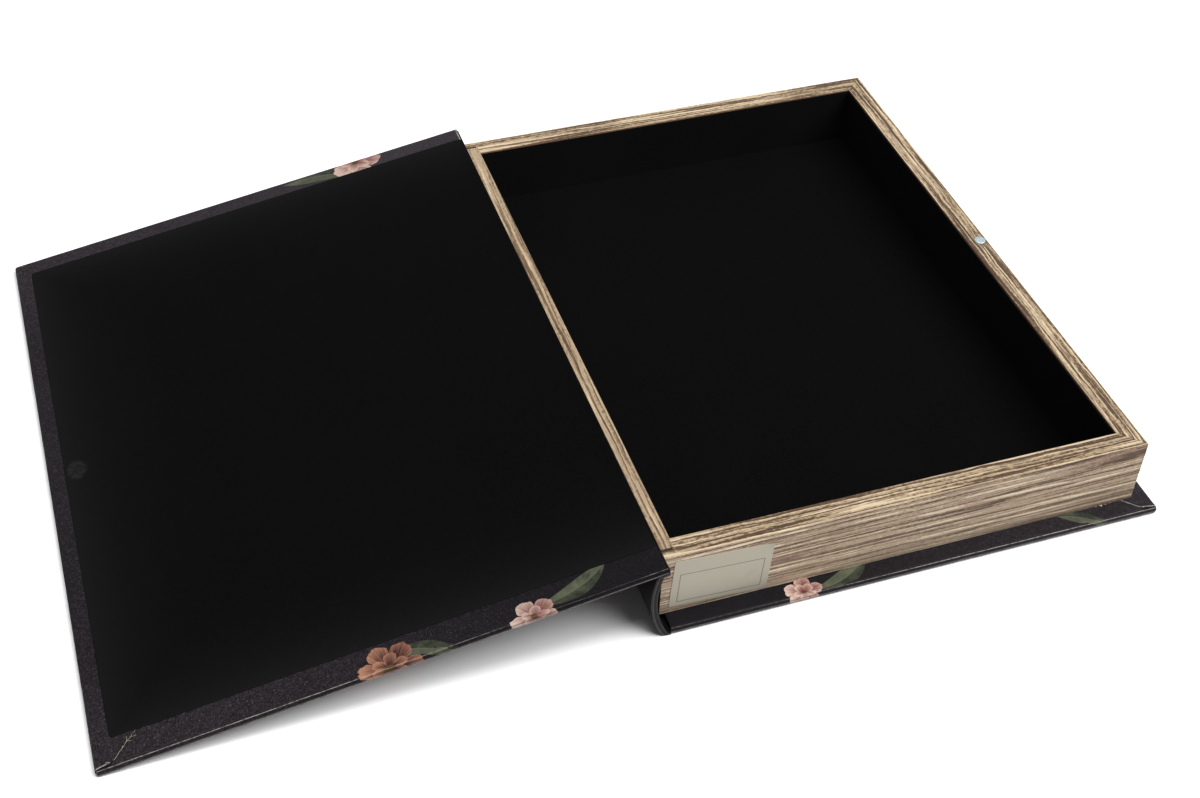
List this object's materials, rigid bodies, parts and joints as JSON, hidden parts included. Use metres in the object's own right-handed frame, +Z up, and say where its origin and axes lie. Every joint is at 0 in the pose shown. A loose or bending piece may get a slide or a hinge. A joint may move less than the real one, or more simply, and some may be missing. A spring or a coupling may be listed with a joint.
{
  "type": "book box",
  "caption": "Book-shaped keepsake box with a lined tray, page-edge walls and a cloth-covered cover that swings open on a cloth hinge.",
  "frame": {"origin": "centre of the underside of the back cover, on the table", "axes": "+X from the spine to the fore edge of the back cover, +Y from tail to head along the spine, +Z up out of the table; the open front cover lies on the -X side"},
  "size_m": [0.4217, 0.288, 0.0387],
  "materials": {
    "greyboard": "matte",
    "book_cloth": "matte",
    "joint_cloth": "matte",
    "black_lining": "matte",
    "fibreboard": "matte",
    "page_edge_paper": "satin",
    "nickel": "polished",
    "label_paper": "satin"
  },
  "bodies": {
    "case": {"back_board": "greyboard", "back_cloth": "book_cloth", "back_joint_cloth": "joint_cloth", "spine_board": "greyboard", "spine_cloth": "book_cloth", "spine_liner": "black_lining", "tray_base": "fibreboard", "tail_wall": "fibreboard", "head_wall": "fibreboard", "fore_edge_wall": "fibreboard", "spine_side_wall": "fibreboard", "tail_paper": "page_edge_paper", "head_paper": "page_edge_paper", "fore_edge_paper": "page_edge_paper", "spine_side_paper": "page_edge_paper", "floor_lining": "black_lining", "tail_lining": "black_lining", "head_lining": "black_lining", "fore_edge_lining": "black_lining", "spine_side_lining": "black_lining", "tray_magnet": "nickel", "label": "label_paper", "hinge_cloth": "joint_cloth", "hinge_liner": "black_lining"},
    "front_cover": {"front_board": "greyboard", "front_cloth": "book_cloth", "front_lining": "black_lining", "cover_magnet": "nickel"}
  },
  "joints": [
    {"name": "cover_hinge", "type": "hinge", "parent": "case", "child": "front_cover", "pos_m": [-0.1073, 0, 0.03675], "axis": [0, 1, 0], "range_deg": [0, 189.56], "deforming": ["hinge_cloth", "hinge_liner"]}
  ]
}
